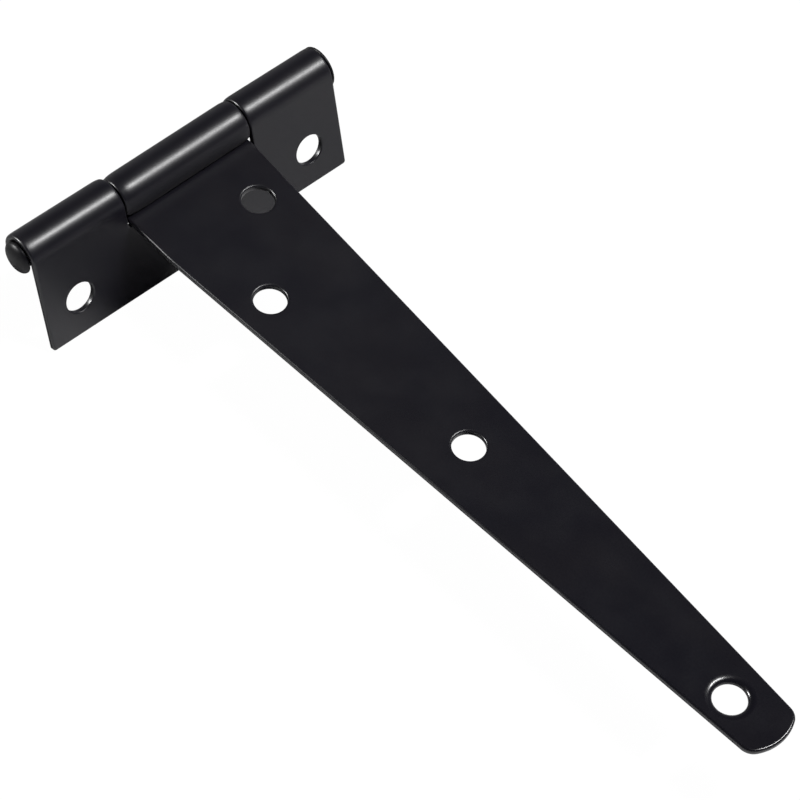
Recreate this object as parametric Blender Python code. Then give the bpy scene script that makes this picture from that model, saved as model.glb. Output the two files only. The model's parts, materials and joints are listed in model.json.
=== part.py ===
"""T hinge: a short butt leaf with two rolled knuckles, a long tapered strap leaf with one rolled
knuckle between them, and a plain pin through all three.

Frame, in metres: the origin lies in the plane of the strap's flat mounting face, on its centreline,
about midway between its second and third screw holes. +X runs along the strap towards its tip, +Y
runs along the pin, and +Z points out of the strap's front face, where the screw heads sit. The hinge
is modelled folded: the butt leaf hangs on the -Z side of the strap, which passes through the notch
between the butt leaf's knuckles.

Sizes are in millimetres and angles in degrees. Each leaf is drawn about the pin's axis, lying along
+X with its mounting face down.
"""

import math

import bmesh
import bpy
from mathutils import Matrix, Vector

MM = 0.001

# Shared by both leaves
SHEET = 1.2  # thickness
KNUCKLE_R = 4.2  # outside radius of all three knuckles
BORE_R = KNUCKLE_R - SHEET
HOLE_R = 3.0  # every screw hole

# Placing
STRAP_RISE = 1.5  # strap's mounting face above the bottom of its knuckle
PIN_X = -55.4
PIN_Z = KNUCKLE_R - STRAP_RISE
FOLD_DEG = 73.6  # between the two leaves

# Strap leaf: x is measured from the pin's axis
STRAP_TIP_X = 151.6
STRAP_HALF_AT_PIN = 14.81  # half-width of the tapering sides, carried back to the pin's axis
STRAP_TAPER = 0.06103  # half-width lost per millimetre of length
TIP_ARC_R = 9.0
TIP_CORNER_R = 2.8
STRAP_KNUCKLE_Y_MIN, STRAP_KNUCKLE_Y_MAX = -13.85, 14.6
NECK_X = 15.7  # the -Y edge runs parallel from the knuckle to here
STEP_X = 5.2  # the +Y edge runs parallel from the knuckle to here
SHOULDER_X = 7.0  # and meets the taper here
STRAP_HOLES = ((15.4, 6.9), (33.3, -5.9), (77.6, 0.0), (140.6, -0.6))  # x, y
RAMP_DEG = 25.0  # slope at which the sheet drops from the flat into the knuckle
BEND_R = 2.8  # of the bend at the top of that slope, on the mounting face
STRAP_CURL_DEG = 313.0  # wrap from the foot of the slope to the rolled edge
STRAP_PLAY = 0.35  # the strap's section sits this far off the pin's axis, towards the tip
STRAP_SKEW = 0.0117  # play lost per millimetre along +Y

# Butt leaf: x is measured from the pin's axis down the leaf
BUTT_Y_MIN, BUTT_Y_MAX = -34.43, 34.32
BUTT_DEPTH = 19.81
NOTCH_Y_MIN, NOTCH_Y_MAX = -14.12, 14.86
NOTCH_DEPTH = 4.35
BUTT_CORNER_R = 0.5  # of the two free corners and the two in the notch
BUTT_HOLES = ((12.14, -26.86), (12.14, 26.7))  # x, y
BUTT_CURL_DEG = 252.0

# Pin
PIN_R = 2.4
PIN_HEAD_R, PIN_HEAD_H = 4.15, 1.0  # formed head at the +Y end
PIN_TAIL_R, PIN_TAIL_H = 3.15, 1.5  # peened end at the -Y end, just wider than the bore
PIN_RIM_H = 0.25  # straight rim under the dome of either end
END_GAP = 0.05  # between a pin's end and the knuckle it bears on

# Helpers' reach past the finished leaf
OUTLINE_START_X = -8.0  # past the back of the knuckles
CUTTER_REACH = 12.0  # along Z from the pin's axis
DRILL_TOP = 2.0 - BORE_R  # 2 mm above the front face of a sheet tangent to its knuckle
EXTRA_LENGTH = 4.0
EXTRA_WIDTH = 2.0

# Facets: largest angle per segment, or number of sides
CURL_STEP = 7.5
BEND_STEP = 5.0
BUTT_CORNER_STEP = 15.0
TIP_CORNER_STEP = 8.0
TIP_ARC_STEP = 4.0
HOLE_SIDES = 40
PIN_SIDES = 48
DOME_RINGS = 6
LEAF_SHARP_DEG = 30
PIN_SHARP_DEG = 40


# ---- Materials ----

def black_coating(name, colour, roughness):
    material = bpy.data.materials.new(name)
    material.use_nodes = True
    shader = material.node_tree.nodes["Principled BSDF"]
    shader.inputs["Base Color"].default_value = (*colour, 1.0)
    shader.inputs["Metallic"].default_value = 0.0
    shader.inputs["Roughness"].default_value = roughness
    material.diffuse_color = (*colour, 1.0)
    return material


def leaf_coating(name):
    return black_coating(name, colour=(0.012, 0.012, 0.014), roughness=0.42)


# ---- Flat geometry ----

def arc(centre_x, centre_y, radius, start, end, step):
    """Points on an arc, both ends included."""
    count = max(1, math.ceil(abs(end - start) / step - 1e-6))
    angles = [math.radians(start + (end - start) * i / count) for i in range(count + 1)]
    return [
        (centre_x + radius * math.cos(angle), centre_y + radius * math.sin(angle))
        for angle in angles
    ]


def rounded(corners, step):
    """A closed outline from (x, y, radius) corners; a radius of 0 keeps the corner sharp."""
    outline = []
    for i, (x, y, radius) in enumerate(corners):
        if radius == 0:
            outline.append((x, y))
            continue
        corner = Vector((x, y))
        back = (Vector(corners[i - 1][:2]) - corner).normalized()
        ahead = (Vector(corners[(i + 1) % len(corners)][:2]) - corner).normalized()
        half = back.angle(ahead) / 2
        centre = corner + (back + ahead).normalized() * (radius / math.sin(half))
        # arms from the arc's centre to where it touches the two sides
        first = corner + back * (radius / math.tan(half)) - centre
        last = corner + ahead * (radius / math.tan(half)) - centre
        sweep = math.atan2(first.x * last.y - first.y * last.x, first.dot(last))
        start = math.degrees(math.atan2(first.y, first.x))
        outline += arc(centre.x, centre.y, radius, start, start + math.degrees(sweep), step)
    return outline


# ---- Objects ----

def flat(x, y, z):
    """Outline in the XY plane, height along Z."""
    return Vector((x, y, z)) * MM


def side(x, z, y):
    """Outline in the XZ plane, height along Y."""
    return Vector((x, y, z)) * MM


def loose_side(x, z, y):
    """The same, moved off the pin's axis by the strap's play and skew."""
    return side(x + STRAP_PLAY - STRAP_SKEW * y, z, y)


def link_new(name, data):
    obj = bpy.data.objects.new(name, data)
    bpy.context.collection.objects.link(obj)
    return obj


def mesh_object(name, bm):
    """An object from a closed bmesh, which is freed."""
    bmesh.ops.recalc_face_normals(bm, faces=bm.faces)
    mesh = bpy.data.meshes.new(name)
    bm.to_mesh(mesh)
    bm.free()
    return link_new(name, mesh)


def prism(name, outline, low, high, place):
    """A closed prism; place turns two outline coordinates and a height into a point."""
    bm = bmesh.new()
    face = bm.faces.new([bm.verts.new(place(*point, low)) for point in outline])
    made = bmesh.ops.extrude_face_region(bm, geom=[face])
    top = [item for item in made["geom"] if isinstance(item, bmesh.types.BMVert)]
    bmesh.ops.translate(bm, verts=top, vec=place(0, 0, high) - place(0, 0, low))
    return mesh_object(name, bm)


def turned(name, profile):
    """A solid of revolution about Y from (radius, y) points, starting and ending on the axis."""
    bm = bmesh.new()
    rings = []
    for radius, y in profile:
        sides = PIN_SIDES if radius else 1
        angles = [2 * math.pi * i / sides for i in range(sides)]
        rings.append(
            [bm.verts.new(side(radius * math.cos(a), radius * math.sin(a), y)) for a in angles]
        )
    for one, two in zip(rings, rings[1:]):
        for i in range(PIN_SIDES):
            j = i + 1
            corners = [
                one[i % len(one)],
                one[j % len(one)],
                two[j % len(two)],
                two[i % len(two)],
            ]
            # a ring that is a single point gives triangles
            bm.faces.new(list(dict.fromkeys(corners)))
    return mesh_object(name, bm)


def finish(obj, material, sharp_deg):
    obj.data.materials.append(material)
    obj.data.shade_smooth()
    obj.data.set_sharp_from_angle(angle=math.radians(sharp_deg))


def pin_axis(name):
    """An empty on the pin's axis that carries a leaf."""
    empty = link_new(name, None)
    empty.location = Vector((PIN_X, 0, PIN_Z)) * MM
    return empty


def cut(body, name, outline, top, operation):
    """Apply a hidden upright prism to the body as a live boolean, and return the prism."""
    tool = prism(name, outline, -CUTTER_REACH, top, flat)
    tool.hide_render = True
    tool.display_type = "WIRE"
    modifier = body.modifiers.new(name, "BOOLEAN")
    modifier.operation = operation
    modifier.object = tool
    modifier.solver = "EXACT"
    return tool


def leaf(name, section, place, y_range, outline, holes, material, parent):
    """A sheet section drawn along the pin, trimmed to its outline and drilled.

    Returns the leaf and its cutters.
    """
    y_min, y_max = y_range
    body = prism(name, section, y_min - EXTRA_WIDTH, y_max + EXTRA_WIDTH, place)
    made = [body, cut(body, f"{name}_outline", outline, CUTTER_REACH, "INTERSECT")]
    for i, (x, y) in enumerate(holes, 1):
        ring = arc(x, y, HOLE_R, 0, 360, 360 / HOLE_SIDES)[:-1]
        made.append(cut(body, f"{name}_hole_{i}", ring, DRILL_TOP, "DIFFERENCE"))
    finish(body, material, LEAF_SHARP_DEG)
    for obj in made:
        obj.parent = parent
    return made


def curl(start, sweep):
    """Section of a knuckle, clockwise round its outside and back along the bore."""
    end = start - sweep
    outside = arc(0, 0, KNUCKLE_R, start, end, CURL_STEP)
    inside = arc(0, 0, BORE_R, end, start, CURL_STEP)
    return outside + inside


# ---- Strap leaf ----

def strap_section():
    """From the tip in along the mounting face, down a short slope, round the knuckle and back."""
    length = STRAP_TIP_X + EXTRA_LENGTH
    lean = math.radians(RAMP_DEG)
    mount_z = STRAP_RISE - KNUCKLE_R
    foot_x, foot_z = KNUCKLE_R * math.sin(lean), -KNUCKLE_R * math.cos(lean)
    slope = (mount_z - foot_z - BEND_R * (1 - math.cos(lean))) / math.sin(lean)
    bend_x = foot_x + slope * math.cos(lean) + BEND_R * math.sin(lean)
    bend_z = mount_z - BEND_R
    bend_end = 90.0 + RAMP_DEG
    return [
        (length, mount_z),
        *arc(bend_x, bend_z, BEND_R, 90.0, bend_end, BEND_STEP),
        *curl(RAMP_DEG - 90.0, STRAP_CURL_DEG),
        *arc(bend_x, bend_z, BEND_R + SHEET, bend_end, 90.0, BEND_STEP),
        (length, mount_z + SHEET),
    ]


def strap_half_width(x):
    return STRAP_HALF_AT_PIN - STRAP_TAPER * x


def strap_outline():
    """Clockwise from above: the +Y edge out to the rounded tip, and the -Y edge back."""
    nose_x = STRAP_TIP_X - TIP_ARC_R
    # The corner circle lies inside the tip's arc and touches the tapered side.
    reach = TIP_ARC_R - TIP_CORNER_R
    side_normal = math.atan2(1.0, STRAP_TAPER)
    side_distance = strap_half_width(nose_x) / math.hypot(1.0, STRAP_TAPER)
    join = side_normal - math.acos((side_distance - TIP_CORNER_R) / reach)
    join_deg = math.degrees(join)
    corner = arc(
        nose_x + reach * math.cos(join),
        reach * math.sin(join),
        TIP_CORNER_R,
        math.degrees(side_normal),
        join_deg,
        TIP_CORNER_STEP,
    )
    nose = arc(nose_x, 0, TIP_ARC_R, join_deg, -join_deg, TIP_ARC_STEP)
    return [
        (OUTLINE_START_X, STRAP_KNUCKLE_Y_MAX),
        (STEP_X, STRAP_KNUCKLE_Y_MAX),
        (SHOULDER_X, strap_half_width(SHOULDER_X)),
        *corner,
        *nose[1:-1],
        *[(x, -y) for x, y in reversed(corner)],
        (NECK_X, STRAP_KNUCKLE_Y_MIN),
        (OUTLINE_START_X, STRAP_KNUCKLE_Y_MIN),
    ]


def build_strap():
    leaf(
        "strap_leaf",
        section=strap_section(),
        place=loose_side,
        y_range=(STRAP_KNUCKLE_Y_MIN, STRAP_KNUCKLE_Y_MAX),
        outline=strap_outline(),
        holes=STRAP_HOLES,
        material=leaf_coating("strap_black_powder_coat"),
        parent=pin_axis("strap_pin_axis"),
    )


# ---- Butt leaf ----

def butt_section():
    """In along the mounting face, which is tangent to the knuckle, round the knuckle and back."""
    length = BUTT_DEPTH + EXTRA_LENGTH
    return [(length, -KNUCKLE_R), *curl(-90.0, BUTT_CURL_DEG), (length, -BORE_R)]


def butt_outline():
    """A rectangle with a notch for the strap's knuckle."""
    corners = [
        # x, y, corner radius
        (OUTLINE_START_X, BUTT_Y_MIN, 0),
        (BUTT_DEPTH, BUTT_Y_MIN, BUTT_CORNER_R),
        (BUTT_DEPTH, BUTT_Y_MAX, BUTT_CORNER_R),
        (OUTLINE_START_X, BUTT_Y_MAX, 0),
        (OUTLINE_START_X, NOTCH_Y_MAX, 0),
        (NOTCH_DEPTH, NOTCH_Y_MAX, BUTT_CORNER_R),
        (NOTCH_DEPTH, NOTCH_Y_MIN, BUTT_CORNER_R),
        (OUTLINE_START_X, NOTCH_Y_MIN, 0),
    ]
    return rounded(corners, BUTT_CORNER_STEP)


def build_butt():
    """Build the butt leaf and return the empty that carries it."""
    axis = pin_axis("butt_pin_axis")
    made = leaf(
        "butt_leaf",
        section=butt_section(),
        place=side,
        y_range=(BUTT_Y_MIN, BUTT_Y_MAX),
        outline=butt_outline(),
        holes=BUTT_HOLES,
        material=leaf_coating("butt_black_powder_coat"),
        parent=axis,
    )
    # Mirroring in Z turns the mounting face up; swung down by the fold, it then faces the strap's.
    mirror = Matrix.Diagonal((1, 1, -1, 1))
    for obj in made:
        obj.data.transform(mirror)
        obj.data.flip_normals()
    axis.rotation_euler = (0.0, math.radians(FOLD_DEG), 0.0)
    return axis


# ---- Pin ----

def pin_end(radius, height, bearing_y, towards):
    """Profile of a domed end from its bearing face to its crown, which points along towards * Y."""
    dome_h = height - PIN_RIM_H
    rim_y = bearing_y + towards * PIN_RIM_H
    ball_r = (radius**2 + dome_h**2) / (2 * dome_h)
    rim_angle = math.asin(radius / ball_r)
    profile = [(radius, bearing_y)]
    for i in range(DOME_RINGS):
        angle = rim_angle * (1 - i / DOME_RINGS)
        rise = ball_r * math.cos(angle) - ball_r + dome_h
        profile.append((ball_r * math.sin(angle), rim_y + towards * rise))
    profile.append((0.0, rim_y + towards * dome_h))
    return profile


def build_pin(parent):
    tail_y = BUTT_Y_MIN - END_GAP
    head_y = BUTT_Y_MAX + END_GAP
    profile = [
        *reversed(pin_end(PIN_TAIL_R, PIN_TAIL_H, tail_y, towards=-1)),
        (PIN_R, tail_y),
        (PIN_R, head_y),
        *pin_end(PIN_HEAD_R, PIN_HEAD_H, head_y, towards=1),
    ]
    pin = turned("hinge_pin", profile)
    coating = black_coating("pin_black_coat", colour=(0.014, 0.014, 0.016), roughness=0.38)
    finish(pin, coating, PIN_SHARP_DEG)
    pin.parent = parent


def main():
    for obj in list(bpy.data.objects):
        bpy.data.objects.remove(obj, do_unlink=True)
    build_strap()
    butt_axis = build_butt()
    build_pin(butt_axis)


main()
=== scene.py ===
"""A strap hinge in satin black powder coat, on white paper.

The pin lies along Y. The strap leaf runs from it along +X with its mounting face on z = 0, and
the butt leaf is folded down from the pin. Both leaves are sheet metal rolled round the pin.
Left is -Y and right is +Y; a sheet's back is its mounting face and its front the opposite one.
"""

import json
import math

import bmesh
import bpy
import numpy as np
from mathutils import Matrix, Vector
from mathutils.geometry import delaunay_2d_cdt


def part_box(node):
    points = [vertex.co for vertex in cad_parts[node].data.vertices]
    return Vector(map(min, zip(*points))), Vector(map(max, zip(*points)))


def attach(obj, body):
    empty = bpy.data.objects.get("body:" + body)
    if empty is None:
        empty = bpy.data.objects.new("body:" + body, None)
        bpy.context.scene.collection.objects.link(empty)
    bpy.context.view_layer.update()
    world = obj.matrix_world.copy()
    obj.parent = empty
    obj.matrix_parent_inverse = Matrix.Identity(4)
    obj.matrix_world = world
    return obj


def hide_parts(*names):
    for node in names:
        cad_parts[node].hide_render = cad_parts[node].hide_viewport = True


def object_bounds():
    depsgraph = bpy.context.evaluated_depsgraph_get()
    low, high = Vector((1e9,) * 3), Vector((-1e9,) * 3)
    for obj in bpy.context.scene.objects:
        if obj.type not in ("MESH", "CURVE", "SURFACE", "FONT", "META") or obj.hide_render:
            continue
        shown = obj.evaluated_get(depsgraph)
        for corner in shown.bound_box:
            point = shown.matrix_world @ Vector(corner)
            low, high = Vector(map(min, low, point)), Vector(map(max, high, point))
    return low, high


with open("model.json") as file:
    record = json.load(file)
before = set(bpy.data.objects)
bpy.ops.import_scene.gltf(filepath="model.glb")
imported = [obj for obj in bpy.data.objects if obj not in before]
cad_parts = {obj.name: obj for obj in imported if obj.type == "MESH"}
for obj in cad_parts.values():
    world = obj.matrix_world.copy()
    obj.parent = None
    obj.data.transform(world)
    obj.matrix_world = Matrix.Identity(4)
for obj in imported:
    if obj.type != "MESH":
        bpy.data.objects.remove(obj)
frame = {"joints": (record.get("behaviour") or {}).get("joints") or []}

CAD_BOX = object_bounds()
MM = 0.001

# ---------------------------------------------------------------- dimensions, in millimetres
# The pin's axis and the leaves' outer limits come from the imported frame.
JOINT = frame["joints"][0]
BUTT_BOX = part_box("butt_leaf")
PIN_X = JOINT["pos_m"][0] / MM
PIN_Z = JOINT["pos_m"][2] / MM

SHEET = 1.2  # thickness of both leaves
KNUCKLE_R = round(PIN_X - BUTT_BOX[0].x / MM, 2)  # outside of the rolled knuckles
NEUTRAL_R = KNUCKLE_R - SHEET / 2  # mid-thickness of the roll
HOLE_R = 3.0
CUT_CORNER_R = 0.58  # corners of the blanks
INSIDE_BOX = 0.0006  # keeps the finished faces a hair inside the CAD's

# Strap outline: X is measured from the pin's axis
STRAP_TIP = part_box("strap_leaf")[1].x / MM - PIN_X
STRAP_HALF_AT_PIN = 14.81
STRAP_TAPER = 0.06103  # half width lost per unit of length
TIP_ARC_R = 9.0
TIP_CORNER_R = 2.8
KNUCKLE_LEFT = -13.85
KNUCKLE_RIGHT = 14.6
NECK_X = 15.7  # the left side steps out to its full width
NECK_R = 9.0
SHOULDER_X = 7.0  # the right side starts its taper
SHOULDER_START_X = 5.2
SHOULDER_R = 4.0
# X, Y, then width and depth of the rounding at the hole's front edge
STRAP_HOLES = (
    (15.4, 6.9, 0.44, 0.34),
    (33.3, -5.9, 0.44, 0.34),
    (77.6, 0.0, 0.40, 0.32),
    (140.6, -0.6, 1.30, 0.74),
)

# Strap section: flat, a bend down, a short slope, then the roll
STRAP_BACK = -PIN_Z  # mounting face from the pin's axis
RAMP = math.radians(25.0)
BEND_R = 2.8
STRAP_WRAP = 313.0  # degrees
PLAY = 0.35  # the loose knuckle sits off the pin's axis,
SKEW = 0.0117  # more so at its left end, by this much per unit of Y
PLAY_EASE = 4.0  # length of flat over which the play fades out
BEND_LENGTH = (BEND_R + SHEET / 2) * RAMP
SLOPE = (
    STRAP_BACK + KNUCKLE_R * math.cos(RAMP) - BEND_R * (1 - math.cos(RAMP))
) / math.sin(RAMP)
FLAT_FROM = (KNUCKLE_R + BEND_R) * math.sin(RAMP) + SLOPE * math.cos(RAMP)
# length of blank at negative X
STRAP_CURL = NEUTRAL_R * math.radians(STRAP_WRAP) + SLOPE + BEND_LENGTH - FLAT_FROM

# Butt leaf: X is measured from the pin's axis, before folding
BUTT_LEFT = BUTT_BOX[0].y / MM
BUTT_RIGHT = BUTT_BOX[1].y / MM
BUTT_DEPTH = 19.81
NOTCH_LEFT = -14.12
NOTCH_RIGHT = 14.86
NOTCH_DEPTH = 4.35
BUTT_HOLES = ((12.14, -26.86, 0.24, 0.20), (12.14, 26.7, 0.24, 0.20))  # as STRAP_HOLES
BUTT_WRAP = 252.0  # degrees
BUTT_CURL = NEUTRAL_R * math.radians(BUTT_WRAP)
FOLD = math.radians(73.6)

# Knuckle ends drawn in towards the pin: Y of the end, depth, reach along the knuckle
STRAP_DRAWN = ((KNUCKLE_LEFT, 0.36, 1.1), (KNUCKLE_RIGHT, 0.14, 0.7))
BUTT_DRAWN = (
    (BUTT_LEFT, 0.12, 0.6),
    (NOTCH_LEFT, 0.16, 0.7),
    (NOTCH_RIGHT, 0.14, 0.6),
    (BUTT_RIGHT, 0.06, 0.5),
)

PIN_R = 2.4
PIN_HEAD_R = 4.15
PIN_HEAD_HEIGHT = 1.0
PIN_TAIL_R = 3.15
PIN_TAIL_HEIGHT = 1.5
PIN_LIP_R = 0.22
END_GAP = 0.05  # between the butt's knuckles and the pin's upset ends

# Mesh density
ROUND_STEPS = 5  # in the rounding of a sheared edge
COARSE_STEP = 1.5
STEP_GROWTH = 1.16
OVERRUN = 5  # the stations go on this far past the strap's tip
MIN_CUT = 0.07  # shortest piece an outline edge is cut into
GRID_HALF_WIDTH = 40
END_ROWS = (0.68, 0.88, 1.12, 1.4, 1.75, 2.2)  # rows of points beside a knuckle's end
END_ROWS_TO = 2.0  # how far along the leaf those rows go
ROW_CLEARANCE = 0.3  # from the end rows to the regular ones
EDGE_RING = 0.5  # inset of the flat faces' border from the outline
HOLE_RING = 1.75  # and from a hole
HOLE_EXTRA_RINGS = (1.15, 0.75)
HOLE_CLEARANCE = 0.4  # from a hole's border to the grid
PIN_SIDES = 96
SHANK_STEPS = 24
LIP_STEPS = 5
DOME_STEPS = 22


# ---------------------------------------------------------------- flat outlines
def arc(centre_x, centre_y, radius, start, end, step):
    """Points from start to end, in degrees, no more than step apart."""
    count = max(1, math.ceil(abs(end - start) / step - 1e-6))
    angles = [math.radians(start + (end - start) * i / count) for i in range(count + 1)]
    return [
        (centre_x + radius * math.cos(angle), centre_y + radius * math.sin(angle))
        for angle in angles
    ]


def rounded(points, radii, step=9.0):
    """A closed outline with its corners replaced by arcs (a radius of 0 keeps the corner)."""
    outline = []
    for i, radius in enumerate(radii):
        corner = Vector(points[i])
        if radius <= 0:
            outline.append((corner.x, corner.y))
            continue
        to_last = (Vector(points[i - 1]) - corner).normalized()
        to_next = (Vector(points[(i + 1) % len(points)]) - corner).normalized()
        half = to_last.angle(to_next) / 2
        centre = corner + (to_last + to_next).normalized() * (radius / math.sin(half))
        first = corner + to_last * (radius / math.tan(half)) - centre
        last = corner + to_next * (radius / math.tan(half)) - centre
        sweep = math.atan2(
            first.x * last.y - first.y * last.x, first.x * last.x + first.y * last.y
        )
        start = math.degrees(math.atan2(first.y, first.x))
        outline += arc(centre.x, centre.y, radius, start, start + math.degrees(sweep), step)
    return outline


def half_width(x):
    return STRAP_HALF_AT_PIN - STRAP_TAPER * x


def strap_tip():
    """The right half of the tip: its corner arc from the side inwards, then the whole nose arc."""
    nose_x = STRAP_TIP - TIP_ARC_R
    side_length = math.hypot(1.0, STRAP_TAPER)
    reach = TIP_ARC_R - TIP_CORNER_R
    # Bisect for the angle at which the corner arc touches both the nose arc and the side.
    low = 0.0
    high = math.pi / 2
    for _ in range(60):
        middle = (low + high) / 2
        x = nose_x + reach * math.cos(middle)
        y = reach * math.sin(middle)
        if (half_width(x) - y) / side_length > TIP_CORNER_R:
            low = middle
        else:
            high = middle
    corner_x = nose_x + reach * math.cos(low)
    corner_y = reach * math.sin(low)
    side_angle = math.degrees(math.atan2(1.0, STRAP_TAPER))
    meet = math.degrees(low)
    corner = arc(corner_x, corner_y, TIP_CORNER_R, side_angle, meet, step=6.0)
    nose = arc(nose_x, 0, TIP_ARC_R, meet, -meet, step=2.5)
    return corner, nose


def strap_blank():
    """The strap's outline before it is rolled."""
    corner, nose = strap_tip()
    tip_x, tip_y = corner[0]
    # The unrounded end points only give the sides their direction, and are dropped.
    left = rounded(
        [(-STRAP_CURL, 0.0), (-STRAP_CURL, KNUCKLE_LEFT), (NECK_X, KNUCKLE_LEFT), (tip_x, -tip_y)],
        [0, CUT_CORNER_R, NECK_R, 0],
    )[1:-1]
    right = rounded(
        [
            (tip_x, tip_y),
            (SHOULDER_X, half_width(SHOULDER_X)),
            (SHOULDER_START_X, KNUCKLE_RIGHT),
            (-STRAP_CURL, KNUCKLE_RIGHT),
            (-STRAP_CURL, 0.0),
        ],
        [0, SHOULDER_R, SHOULDER_R, CUT_CORNER_R, 0],
    )[1:-1]
    left_tip = [(x, -y) for x, y in corner + nose[1:-1]]
    return left + left_tip + corner[::-1] + right


def butt_blank():
    """The butt leaf's outline before it is rolled, with the notch for the strap's knuckle."""
    points = [
        (-BUTT_CURL, BUTT_LEFT),
        (BUTT_DEPTH, BUTT_LEFT),
        (BUTT_DEPTH, BUTT_RIGHT),
        (-BUTT_CURL, BUTT_RIGHT),
        (-BUTT_CURL, NOTCH_RIGHT),
        (NOTCH_DEPTH, NOTCH_RIGHT),
        (NOTCH_DEPTH, NOTCH_LEFT),
        (-BUTT_CURL, NOTCH_LEFT),
    ]
    return rounded(points, [CUT_CORNER_R] * len(points))


# ---------------------------------------------------------------- loops of points
def graded(curl, flat_from, fine):
    """Positions along the leaf: even and close in the curl, then opening out over the flat."""
    count = round((curl + flat_from) / fine)
    stations = [-curl + (curl + flat_from) * i / count for i in range(count + 1)]
    step = (curl + flat_from) / count
    while stations[-1] < STRAP_TIP + OVERRUN:
        step = min(step * STEP_GROWTH, COARSE_STEP)
        stations.append(stations[-1] + step)
    return stations


def sides(loop):
    return zip(loop, loop[1:] + loop[:1])


def cut_at(loop, stations):
    """The loop with a vertex added wherever one of its long edges crosses a station."""
    cut = []
    for start, end in sides(loop):
        cut.append(start)
        run = end[0] - start[0]
        if abs(run) <= 1e-6:
            continue
        crossings = []
        for station in stations:
            part = (station - start[0]) / run
            gap = min(part, 1 - part) * math.hypot(run, end[1] - start[1])
            if 0 < part < 1 and gap > MIN_CUT:
                crossings.append(part)
        for part in sorted(crossings):
            cut.append((start[0] + run * part, start[1] + (end[1] - start[1]) * part))
    return cut


def split_long(loop, longest):
    """The loop with its edges across the leaf divided so that none is longer than longest."""
    split = []
    for start, end in sides(loop):
        split.append(start)
        run = end[0] - start[0]
        rise = end[1] - start[1]
        if abs(run) < 0.2:
            count = math.ceil(abs(rise) / longest - 1e-6)
            for j in range(1, count):
                split.append((start[0] + run * j / count, start[1] + rise * j / count))
    return split


def miters(loop):
    """Directions that offset each edge by one unit into the material, left of the loop."""
    corners = np.array(loop, float)
    edges = np.roll(corners, -1, 0) - corners
    edges /= np.linalg.norm(edges, axis=1)[:, None]
    left = np.stack([-edges[:, 1], edges[:, 0]], 1)
    before = np.roll(left, 1, 0)
    return (before + left) / (1 + (before * left).sum(1))[:, None]


def inside(points, loop):
    """Even-odd test of many points against one loop."""
    points = np.asarray(points, float)
    starts = np.array(loop, float)
    hit = np.zeros(len(points), bool)
    for (x0, y0), (x1, y1) in zip(starts, np.roll(starts, -1, 0)):
        crosses = (y0 > points[:, 1]) != (y1 > points[:, 1])
        with np.errstate(divide="ignore", invalid="ignore"):
            x = (x1 - x0) * (points[:, 1] - y0) / (y1 - y0) + x0
        hit ^= crosses & (points[:, 0] < x)
    return hit


def distance(points, loop):
    """Distance from each point to the nearest edge of the loop."""
    points = np.asarray(points, float)
    starts = np.array(loop, float)
    best = np.full(len(points), 1e9)
    for start, end in zip(starts, np.roll(starts, -1, 0)):
        edge = end - start
        part = np.clip(((points - start) @ edge) / (edge @ edge), 0, 1)
        gap = np.linalg.norm(points - (start + part[:, None] * edge), axis=1)
        best = np.minimum(best, gap)
    return best


# ---------------------------------------------------------------- a rolled sheet as a closed mesh
def rim_profile(front, back, inner, extra):
    """Section of a sheared edge as (inset, height) pairs, from the front face round to the back.

    front and back are the (width, depth) of the rounding.
    """
    margin = 0.06  # a row this far inside each rounding holds the flat face's shading
    quarter = [math.pi / 2 * i / ROUND_STEPS for i in range(ROUND_STEPS + 1)]
    extra = [inset for inset in extra if inset > max(front[0], back[0]) + 0.15]
    rows = [(inset, SHEET) for inset in (inner, *extra, front[0] + margin)]
    for angle in quarter:
        rows.append((front[0] * (1 - math.sin(angle)), SHEET - front[1] * (1 - math.cos(angle))))
    for angle in quarter:
        rows.append((back[0] * (1 - math.cos(angle)), back[1] * (1 - math.sin(angle))))
    rows += [(inset, 0.0) for inset in (back[0] + margin, *reversed(extra), inner)]
    return rows


def sweep_rim(loop, profile, verts, faces):
    """Adds a rim to verts and faces; returns its inner ring and that ring's front and back ids."""
    corners = np.array(loop, float)
    offsets = miters(loop)
    base = len(verts)
    count = len(loop)
    for inset, height in profile:
        verts += [(x, y, height) for x, y in corners + offsets * inset]
    for row in range(base, base + (len(profile) - 1) * count, count):
        for i in range(count):
            j = (i + 1) % count
            faces.append((row + i, row + count + i, row + count + j, row + j))
    inner = profile[0][0]
    ring = [tuple(point) for point in corners + offsets * inner]
    last = base + (len(profile) - 1) * count
    return ring, range(base, base + count), range(last, last + count)


def lattice(alongs, acrosses):
    along, across = np.meshgrid(alongs, acrosses, indexing="ij")
    return np.stack([along.ravel(), across.ravel()], 1)


def face_grid(stations, flat_from, ends, rings):
    """Points of the flat faces between the rings, with closer rows beside the knuckle ends."""
    near = np.array([end + side * row for end in ends for side in (-1, 1) for row in END_ROWS])
    even = np.linspace(
        -GRID_HALF_WIDTH, GRID_HALF_WIDTH, round(2 * GRID_HALF_WIDTH / COARSE_STEP) + 1
    )
    even = [across for across in even if np.abs(near - across).min() > ROW_CLEARANCE]
    curled = [along for along in stations if along < END_ROWS_TO]
    grid = np.concatenate([lattice(stations, even), lattice(curled, near)])

    border, *hole_rings = rings
    clearance = np.interp(
        grid[:, 0], [flat_from - 0.5, flat_from + 6.0], [0.1, 0.45 * COARSE_STEP]
    )
    keep = inside(grid, border)
    keep &= distance(grid, border) > np.maximum(clearance, 0.12)
    for ring in hole_rings:
        keep &= ~inside(grid, ring) & (distance(grid, ring) > HOLE_CLEARANCE)
    return grid[keep]


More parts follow.
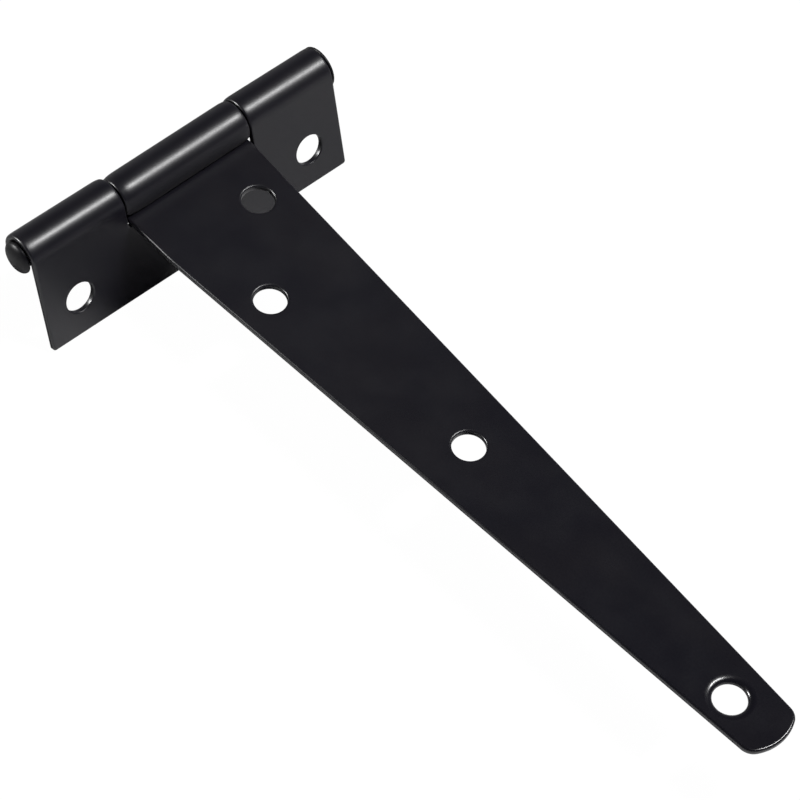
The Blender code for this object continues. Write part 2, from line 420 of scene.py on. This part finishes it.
def triangulate(rings, grid):
    """Triangles of the flat face: points, triangles inside it, and each point's input ids."""
    points = [Vector(point) for ring in rings for point in ring]
    edges = []
    for ring in rings:
        base = len(edges)
        edges += [(base + i, base + (i + 1) % len(ring)) for i in range(len(ring))]
    points += [Vector(point) for point in grid]
    out, _, triangles, origins, _, _ = delaunay_2d_cdt(points, edges, [], 0, 1e-7, True)
    out = np.array([(point.x, point.y) for point in out])
    centres = np.array([out[list(triangle)].mean(0) for triangle in triangles])
    keep = inside(centres, rings[0])
    for i, (a, b, c) in enumerate(triangles):
        area = abs(np.cross(out[b] - out[a], out[c] - out[a]))
        keep[i] &= area > 1e-5  # not a sliver outside a straight edge
    for ring in rings[1:]:
        keep &= ~inside(centres, ring)
    return out, [triangle for triangle, ok in zip(triangles, keep) if ok], origins


def add_object(name, data):
    obj = bpy.data.objects.new(name, data)
    bpy.context.collection.objects.link(obj)
    return obj


def mesh_object(name, bm, smooth=True):
    mesh = bpy.data.meshes.new(name)
    bm.to_mesh(mesh)
    bm.free()
    if smooth:
        mesh.shade_smooth()
    return add_object(name, mesh)


def rolled_sheet(
    name, outline, holes, curl, flat_from, roll, shape, edge_front, edge_back, hole_back, fine, ends
):
    """A closed solid sheet: made flat with every sheared edge rounded, then rolled.

    roll maps arrays (along, across, height) to points; shape gives small height changes.
    """
    stations = graded(curl, flat_from, fine)
    verts = []
    faces = []
    outer = split_long(cut_at(outline, stations), COARSE_STEP)
    edge_profile = rim_profile(edge_front, edge_back, EDGE_RING, ())
    rims = [sweep_rim(outer, edge_profile, verts, faces)]
    for x, y, width, depth in holes:
        circle = arc(x, y, HOLE_R, 0, 360, step=5.0)[:-1][::-1]
        profile = rim_profile((width, depth), hole_back, HOLE_RING, HOLE_EXTRA_RINGS)
        rims.append(sweep_rim(circle, profile, verts, faces))

    rings = [ring for ring, _, _ in rims]
    grid = face_grid(stations, flat_from, ends, rings)
    points, triangles, origins = triangulate(rings, grid)

    # Ring points are already in the rims; the others get a front and a back vertex.
    front_ring = [index for _, front, _ in rims for index in front]
    back_ring = [index for _, _, back in rims for index in back]
    front_ids = []
    back_ids = []
    for (x, y), origin in zip(points, origins):
        source = min(origin, default=len(front_ring))
        if source < len(front_ring):
            front_ids.append(front_ring[source])
            back_ids.append(back_ring[source])
        else:
            front_ids.append(len(verts))
            back_ids.append(len(verts) + 1)
            verts += [(x, y, SHEET), (x, y, 0.0)]

    bm = bmesh.new()
    made = [bm.verts.new(vert) for vert in np.array(verts, float) * MM]
    for face in faces:
        bm.faces.new([made[i] for i in face])
    flat_faces = []
    for triangle in triangles:
        flat_faces.append(bm.faces.new([made[front_ids[i]] for i in triangle]))
        flat_faces.append(bm.faces.new([made[back_ids[i]] for i in reversed(triangle)]))
    loose = [vert for vert in bm.verts if not vert.link_faces]
    bmesh.ops.delete(bm, geom=loose, context="VERTS")
    bmesh.ops.join_triangles(
        bm,
        faces=flat_faces,
        angle_face_threshold=math.radians(1),
        angle_shape_threshold=math.radians(50),
    )

    along, across, height = (np.array([vert.co[:] for vert in bm.verts]) / MM).T
    # A knuckle's bore keeps its size.
    outer_share = np.where(along < 0, 1 - height / SHEET, 1.0)
    height = height + shape(along, across) * outer_share
    for vert, point in zip(bm.verts, roll(along, across, height)):
        vert.co = Vector(point) * MM
    bmesh.ops.recalc_face_normals(bm, faces=bm.faces)
    if any(len(edge.link_faces) != 2 for edge in bm.edges):
        raise RuntimeError(f"{name} is not closed")
    return mesh_object(name, bm)


# ---------------------------------------------------------------- the two leaves
def drawn_in(along, across, knuckle_ends):
    """How far a rolled knuckle's ends are drawn in towards the pin, as the shears leave them."""
    return sum(
        depth * np.exp(-((np.abs(across - end) / reach) ** 1.6)) * np.clip(-along / 2.0, 0, 1)
        for end, depth, reach in knuckle_ends
    )


def strap_shape(along, across):
    """A faint wave in the flat, and the ends of the roll drawn in."""
    fade = np.clip((along - 14) / 10, 0, 1)
    wave = 0.004 * np.sin(along / 23.0 + 0.6) * np.cos(across / 13.0) + 0.003 * np.sin(
        along / 41.0 + across / 9.0
    )
    return fade * wave + drawn_in(along, across, STRAP_DRAWN)


def butt_shape(along, across):
    fade = np.clip((along - 2) / 5, 0, 1)
    wave = 0.005 * np.sin(along / 6.0) * np.cos(across / 11.0 + 0.8)
    return fade * wave + drawn_in(along, across, BUTT_DRAWN)


def roll_strap(along, across, height):
    """Flat, then a bend down, a short slope and the roll, whose axis stands off the pin's."""
    past_flat = FLAT_FROM - along
    bend = past_flat / (BEND_R + SHEET / 2)
    bend_x = FLAT_FROM - (BEND_R + height) * np.sin(bend)
    bend_z = STRAP_BACK - BEND_R + (BEND_R + height) * np.cos(bend)
    sin = math.sin(RAMP)
    cos = math.cos(RAMP)
    past_bend = past_flat - BEND_LENGTH
    slope_x = FLAT_FROM - BEND_R * sin - past_bend * cos - height * sin
    slope_z = STRAP_BACK - BEND_R + BEND_R * cos - past_bend * sin + height * cos
    angle = RAMP - math.pi / 2 - (past_bend - SLOPE) / NEUTRAL_R
    radius = KNUCKLE_R - INSIDE_BOX - height
    flat_z = height + STRAP_BACK + 2 * INSIDE_BOX
    zones = [past_flat < 0, past_flat < BEND_LENGTH, past_bend < SLOPE]
    x = np.select(zones, [along, bend_x, slope_x], radius * np.cos(angle))
    z = np.select(zones, [flat_z, bend_z, slope_z], radius * np.sin(angle))
    x = x + (PLAY - SKEW * across) * np.clip(1 + past_flat / PLAY_EASE, 0, 1)
    return np.stack([x + PIN_X, across, z + PIN_Z], 1)


def roll_butt(along, across, height):
    """Rolls what lies at negative along over the pin, turns the leaf over and folds it down."""
    angle = -math.pi / 2 + np.minimum(along, 0) / NEUTRAL_R
    radius = KNUCKLE_R - INSIDE_BOX - height
    x = np.where(along < 0, radius * np.cos(angle), along)
    z = -np.where(along < 0, radius * np.sin(angle), -radius)
    cos = math.cos(FOLD)
    sin = math.sin(FOLD)
    return np.stack([x * cos + z * sin + PIN_X, across, -x * sin + z * cos + PIN_Z], 1)


def build_strap():
    return rolled_sheet(
        "strap_leaf_finished",
        outline=strap_blank(),
        holes=STRAP_HOLES,
        curl=STRAP_CURL,
        flat_from=FLAT_FROM,
        roll=roll_strap,
        shape=strap_shape,
        edge_front=(0.42, 0.38),
        edge_back=(0.38, 0.28),
        hole_back=(0.22, 0.20),
        fine=0.27,
        ends=(KNUCKLE_LEFT, KNUCKLE_RIGHT),
    )


def build_butt():
    return rolled_sheet(
        "butt_leaf_finished",
        outline=butt_blank(),
        holes=BUTT_HOLES,
        curl=BUTT_CURL,
        flat_from=0.0,
        roll=roll_butt,
        shape=butt_shape,
        edge_front=(0.28, 0.24),
        edge_back=(0.36, 0.28),
        hole_back=(0.26, 0.22),
        fine=0.30,
        ends=(BUTT_LEFT, NOTCH_LEFT, NOTCH_RIGHT, BUTT_RIGHT),
    )


# ---------------------------------------------------------------- the pin
def upset_end(radius, start_y, height, towards):
    """Profile of an upset end from its underside to its crown: a slightly flattened dome."""
    lip = PIN_LIP_R
    profile = [(radius - lip, start_y)]
    for i in range(1, LIP_STEPS + 1):
        angle = math.pi / 2 * i / LIP_STEPS
        rise = lip * (1 - math.cos(angle))
        profile.append((radius - lip + lip * math.sin(angle), start_y + towards * rise))
    for i in range(1, DOME_STEPS):
        angle = math.pi / 2 * i / DOME_STEPS
        rise = lip + (height - lip) * math.sin(angle) ** 0.95
        profile.append((radius * math.cos(angle) ** 0.75, start_y + towards * rise))
    profile.append((0.0, start_y + towards * height))
    return profile


def pin_profile():
    """(radius, Y) from the tail's crown on the left to the head's on the right."""
    left = BUTT_LEFT - END_GAP
    right = BUTT_RIGHT + END_GAP
    tail = upset_end(PIN_TAIL_R, left, PIN_TAIL_HEIGHT, towards=-1)
    shank = [(PIN_R, left + (right - left) * i / SHANK_STEPS) for i in range(SHANK_STEPS + 1)]
    return tail[::-1] + shank + upset_end(PIN_HEAD_R, right, PIN_HEAD_HEIGHT, towards=1)


def build_pin():
    bm = bmesh.new()
    rings = []
    for radius, y in pin_profile():
        ring = []
        for i in range(PIN_SIDES if radius else 1):
            angle = 2 * math.pi * i / PIN_SIDES
            x = PIN_X + radius * math.cos(angle)
            z = PIN_Z + radius * math.sin(angle)
            ring.append(bm.verts.new(Vector((x, y, z)) * MM))
        rings.append(ring)
    for one, two in zip(rings, rings[1:]):
        for i in range(PIN_SIDES):
            j = i + 1
            corners = [one[i % len(one)], one[j % len(one)], two[j % len(two)], two[i % len(two)]]
            bm.faces.new(list(dict.fromkeys(corners)))
    bmesh.ops.recalc_face_normals(bm, faces=bm.faces)
    return mesh_object("hinge_pin_finished", bm)


# ---------------------------------------------------------------- node graphs
class Graph:
    """The emptied node tree of a material or world, with short ways to add nodes."""

    def __init__(self, owner):
        owner.use_nodes = True
        self.tree = owner.node_tree
        self.tree.nodes.clear()

    def node(self, kind, inputs=None, **settings):
        """Adds a node; an input that is a socket is linked, any other is set as a value."""
        node = self.tree.nodes.new("ShaderNode" + kind)
        for key, value in settings.items():
            setattr(node, key, value)
        for key, value in (inputs or {}).items():
            if isinstance(value, bpy.types.NodeSocket):
                self.tree.links.new(value, node.inputs[key])
            else:
                node.inputs[key].default_value = value
        return node

    def shader(self, kind, inputs):
        return self.node(kind, inputs).outputs[0]

    def math(self, operation, first, second):
        return self.node("Math", {0: first, 1: second}, operation=operation).outputs[0]

    def mix(self, factor, first, second):
        inputs = {"Factor": factor, 6: first, 7: second}
        return self.node("Mix", inputs, data_type="RGBA").outputs[2]

    def spread(self, value, source, target, interpolation="LINEAR"):
        """Maps the source range of value onto the target range."""
        inputs = {
            "Value": value,
            "From Min": source[0],
            "From Max": source[1],
            "To Min": target[0],
            "To Max": target[1],
        }
        node = self.node("MapRange", inputs, interpolation_type=interpolation)
        return node.outputs["Result"]

    def noise(self, place, scale, detail=2.0, roughness=0.5):
        inputs = {"Vector": place, "Scale": scale, "Detail": detail, "Roughness": roughness}
        return self.node("TexNoise", inputs).outputs["Fac"]


# ---------------------------------------------------------------- materials
COAT_TONE = (0.0068, 0.0063, 0.0096)
PIN_TONE = (0.0040, 0.0038, 0.0056)
BLUE_BLACK = (0.88, 0.90, 1.0)  # the film's tone drifts between these two tints
NEUTRAL_BLACK = (1.12, 1.10, 1.08)
DUST_COLOUR = (0.09, 0.09, 0.09, 1.0)
DUST_OPACITY = 0.35
CURE_SPREAD = 0.018  # roughness either side of the mean, over centimetres
GRAIN_SPREAD = 0.014  # and over a fraction of a millimetre
PEEL_HEIGHT = 0.0000016  # metres
GRAIN_HEIGHT = 0.00000035


def coat_colour(graph, place, tone):
    """Slow drift from blue-black to neutral black, with rare pale specks of settled dust."""
    drift = graph.spread(graph.noise(place, scale=75.0, detail=3.0), (0.38, 0.62), (0.0, 1.0))
    ends = [
        (*(channel * tint for channel, tint in zip(tone, tints)), 1.0)
        for tints in (BLUE_BLACK, NEUTRAL_BLACK)
    ]
    film = graph.mix(drift, *ends)
    specks = graph.node("TexVoronoi", {"Vector": place, "Scale": 520.0})
    near = graph.spread(specks.outputs["Distance"], (0.03, 0.075), (1.0, 0.0))
    chosen = graph.spread(specks.outputs["Color"], (0.955, 0.965), (0.0, 1.0))
    dust = graph.math("MULTIPLY", near, chosen)
    return graph.mix(graph.math("MULTIPLY", dust, DUST_OPACITY), film, DUST_COLOUR)


def coat_roughness(graph, place, rough):
    broad = graph.spread(
        graph.noise(place, scale=130.0), (0.35, 0.65), (rough - CURE_SPREAD, rough + CURE_SPREAD)
    )
    grain = graph.spread(
        graph.noise(place, scale=2600.0, detail=3.0, roughness=0.6),
        (0.3, 0.7),
        (-GRAIN_SPREAD, GRAIN_SPREAD),
    )
    return graph.math("ADD", broad, grain)


def strap_roughness(graph, position, level):
    """Matt in the recess where the roll closes on the flat, glossier towards the tip."""
    axes = graph.node("SeparateXYZ", {0: position}).outputs
    section = graph.node("CombineXYZ", {"X": axes["X"], "Z": axes["Z"]}).outputs[0]
    recess = ((PIN_X + 4.4) * MM, 0.0, (PIN_Z + 0.6) * MM)
    away = graph.node("VectorMath", {0: section, 1: recess}, operation="DISTANCE")
    matt = graph.spread(away.outputs["Value"], (1.2 * MM, 2.2 * MM), (0.30, 0.0))
    shine = graph.spread(axes["X"], (-20 * MM, 96 * MM), (0.0, -0.14))
    return graph.math("ADD", graph.math("ADD", level, matt), shine)


def coat_normal(graph, place, peel):
    """Orange peel about a millimetre across, under a much finer grain."""
    peel_noise = graph.noise(place, scale=780.0, detail=1.0, roughness=0.4)
    fine_noise = graph.noise(place, scale=5200.0, detail=2.0, roughness=0.6)
    peel_bump = graph.shader(
        "Bump", {"Strength": 1.0, "Distance": PEEL_HEIGHT * peel, "Height": peel_noise}
    )
    return graph.shader(
        "Bump",
        {
            "Strength": 1.0,
            "Distance": GRAIN_HEIGHT,
            "Height": fine_noise,
            "Normal": peel_bump,
        },
    )


def powder_coat(name, seed, tone=COAT_TONE, rough=0.335, peel=1.0, ior=1.5, strap=False):
    """Satin black powder coat; seed shifts its textures so that no two pieces match."""
    mat = bpy.data.materials.new(name)
    graph = Graph(mat)
    position = graph.node("TexCoord").outputs["Object"]
    shift = (seed * 0.37, seed * 0.11, seed * 0.23)
    place = graph.node("Mapping", {"Vector": position, "Location": shift}).outputs[0]
    roughness = coat_roughness(graph, place, rough)
    if strap:
        roughness = strap_roughness(graph, position, roughness)
    coat = {
        "Base Color": coat_colour(graph, place, tone),
        "Roughness": roughness,
        "Normal": coat_normal(graph, place, peel),
        "Metallic": 0.0,
        "IOR": ior,
    }
    graph.node("OutputMaterial", {0: graph.shader("BsdfPrincipled", coat)})
    return mat


# Painted shade on the paper, seen only in reflections: its reflectance in front of the barrel (+X),
# and the lower one behind it, which stands in for the shade there. Also the share left on the +Y
# side, a painted shade for the part the lamps hardly reach
PAPER_FRONT = 1.00
PAPER_BEHIND_PAINTED_SHADE = 0.45
PAPER_RIGHT_PAINTED_SHADE = 0.66


def paper_material():
    """White paper: overexposed to the camera. To all other rays it is lit by the lamps, with
    painted shade behind the barrel and on the +Y side.
    """
    mat = bpy.data.materials.new("studio_paper")
    graph = Graph(mat)
    glow = graph.shader("Emission", {"Color": (1, 1, 1, 1), "Strength": 0.99})
    thin = graph.shader("BsdfDiffuse", {"Color": (0.04, 0.04, 0.04, 1)})
    seen = graph.shader("AddShader", {0: glow, 1: thin})

    position = graph.node("NewGeometry").outputs["Position"]
    axes = graph.node("SeparateXYZ", {0: position}).outputs
    barrel_x = PIN_X * MM
    # painted shade: the paper's colour darkens behind the barrel and towards +Y, for reflections
    # only
    painted_shade_lengthwise = graph.spread(
        axes["X"], (barrel_x - 0.030, barrel_x + 0.010), (PAPER_BEHIND_PAINTED_SHADE, PAPER_FRONT), "SMOOTHSTEP"
    )
    painted_shade_sideways = graph.spread(axes["Y"], (-0.010, 0.030), (1.0, PAPER_RIGHT_PAINTED_SHADE), "SMOOTHSTEP")
    level = graph.math("MULTIPLY", painted_shade_lengthwise, painted_shade_sideways)
    paper = graph.shader("BsdfDiffuse", {"Color": level})

    to_camera = graph.node("LightPath").outputs["Is Camera Ray"]
    graph.node("OutputMaterial", {0: graph.shader("MixShader", {0: to_camera, 1: paper, 2: seen})})
    return mat


# ---------------------------------------------------------------- floor, world, lights, camera
# Metres from here on
FLOOR_HALF = 6.0
FLOOR_DROP = 0.0004  # below the CAD's lowest point
BARREL = Vector((PIN_X, 0, PIN_Z)) * MM
STRIP_DIRECTION = (0.2716, 0.425, 0.863)
ROOM_TINT = (1, 0.985, 1.06)
# Room brightness against height, as (sine of elevation, brightness), towards +X and -X
SKY_FRONT = ((0.0, 0.55), (0.10, 0.40), (0.19, 0.20), (0.37, 0.035), (1.0, 0.030))
SKY_BEHIND = ((0.0, 0.30), (0.17, 0.28), (0.36, 0.14), (0.57, 0.045), (1.0, 0.030))


def build_floor():
    floor_z = CAD_BOX[0].z - FLOOR_DROP
    bm = bmesh.new()
    signs = ((-1, -1), (1, -1), (1, 1), (-1, 1))
    bm.faces.new([bm.verts.new((x * FLOOR_HALF, y * FLOOR_HALF, floor_z)) for x, y in signs])
    floor = mesh_object("studio_floor", bm, smooth=False)
    floor.data.materials.append(paper_material())


def sky(graph, height, stops):
    ramp = graph.node("ValToRGB", {0: height})
    ramp.color_ramp.interpolation = "LINEAR"
    marks = ramp.color_ramp.elements
    while len(marks) < len(stops):
        marks.new(0.5)
    for mark, (position, level) in zip(marks, stops):
        mark.position = position
        mark.color = (*(level * tint for tint in ROOM_TINT), 1)
    return ramp.outputs[0]


def build_world():
    """A dim graded room, seen by the camera as plain white."""
    world = bpy.data.worlds.new("studio")
    bpy.context.scene.world = world
    graph = Graph(world)
    direction = graph.node("TexCoord").outputs["Generated"]
    axes = graph.node("SeparateXYZ", {0: direction}).outputs
    turn = graph.spread(axes["X"], (-0.25, 0.25), (0.0, 1.0))
    behind = sky(graph, axes["Z"], SKY_BEHIND)
    front = sky(graph, axes["Z"], SKY_FRONT)
    room = graph.shader("Background", {"Color": graph.mix(turn, behind, front)})
    white = graph.shader("Background", {"Color": (1, 1, 1, 1), "Strength": 1.0})
    to_camera = graph.node("LightPath").outputs["Is Camera Ray"]
    graph.node("OutputWorld", {0: graph.shader("MixShader", {0: to_camera, 1: room, 2: white})})


def axes_matrix(position, x_axis, y_axis, z_axis):
    turn = Matrix((x_axis, y_axis, z_axis)).transposed().to_4x4()
    return Matrix.Translation(position) @ turn


def soft_light(name, direction, reach, length, width, along, power):
    """A rectangular softbox aimed at the barrel.

    direction points from the barrel to the lamp; along is the way its long side lies.
    """
    data = bpy.data.lights.new(name, "AREA")
    data.shape = "RECTANGLE"
    data.size = length
    data.size_y = width
    data.energy = power
    lamp = add_object(name, data)
    z_axis = Vector(direction).normalized()
    x_axis = (Vector(along) - Vector(along).dot(z_axis) * z_axis).normalized()
    y_axis = z_axis.cross(x_axis)
    lamp.matrix_world = axes_matrix(BARREL + z_axis * reach, x_axis, y_axis, z_axis)
    lamp.visible_camera = False
    return lamp


def build_lights():
    soft_light(
        "strip", STRIP_DIRECTION, reach=2.10, length=0.90, width=0.150, along=(0, 1, 0), power=32.4
    )
    soft_light(
        "strip_halo", STRIP_DIRECTION, reach=2.16, length=1.02, width=0.72, along=(0, 1, 0),
        power=10.8,
    )
    side_box = soft_light(
        "side_box", (-0.62, -0.65, 0.44), reach=0.60, length=0.16, width=0.14,
        along=(0.8, -0.6, 0), power=6.0,
    )
    side_box.visible_diffuse = False


def build_camera():
    data = bpy.data.cameras.new("camera")
    data.sensor_fit = "HORIZONTAL"
    data.sensor_width = 36.0
    data.lens = 157.622
    data.shift_x = -0.000625
    data.shift_y = 0.000625
    data.clip_start = 0.02
    data.clip_end = 50.0
    camera = add_object("camera", data)
    camera.matrix_world = axes_matrix(
        position=(0.2353331, -0.2634486, 0.4855638),
        x_axis=Vector((0.6706797, 0.7372075, 0.0819380)),
        y_axis=Vector((-0.6358225, 0.5144964, 0.5753461)),
        z_axis=Vector((0.3819927, -0.4379710, 0.8137954)),
    )
    bpy.context.scene.camera = camera


# ---------------------------------------------------------------- assembly
strap = build_strap()
butt = build_butt()
pin = build_pin()
strap.data.materials.append(powder_coat("strap_powder_coat", seed=1.0, strap=True))
butt.data.materials.append(powder_coat("butt_powder_coat", seed=2.7))
pin.data.materials.append(
    powder_coat("pin_coat", seed=4.1, tone=PIN_TONE, rough=0.42, peel=0.6, ior=1.32)
)

for piece, body, node_name, slot_name in (
    (strap, "strap", "strap_leaf", "strap_coating"),
    (butt, "butt", "butt_leaf", "butt_coating"),
    (pin, "butt", "hinge_pin", "pin_coating"),
):
    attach(piece, body)
    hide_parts(node_name)

build_floor()
build_world()
build_lights()
build_camera()
bpy.context.scene.view_settings.view_transform = "Standard"
bpy.context.scene.view_settings.look = "None"
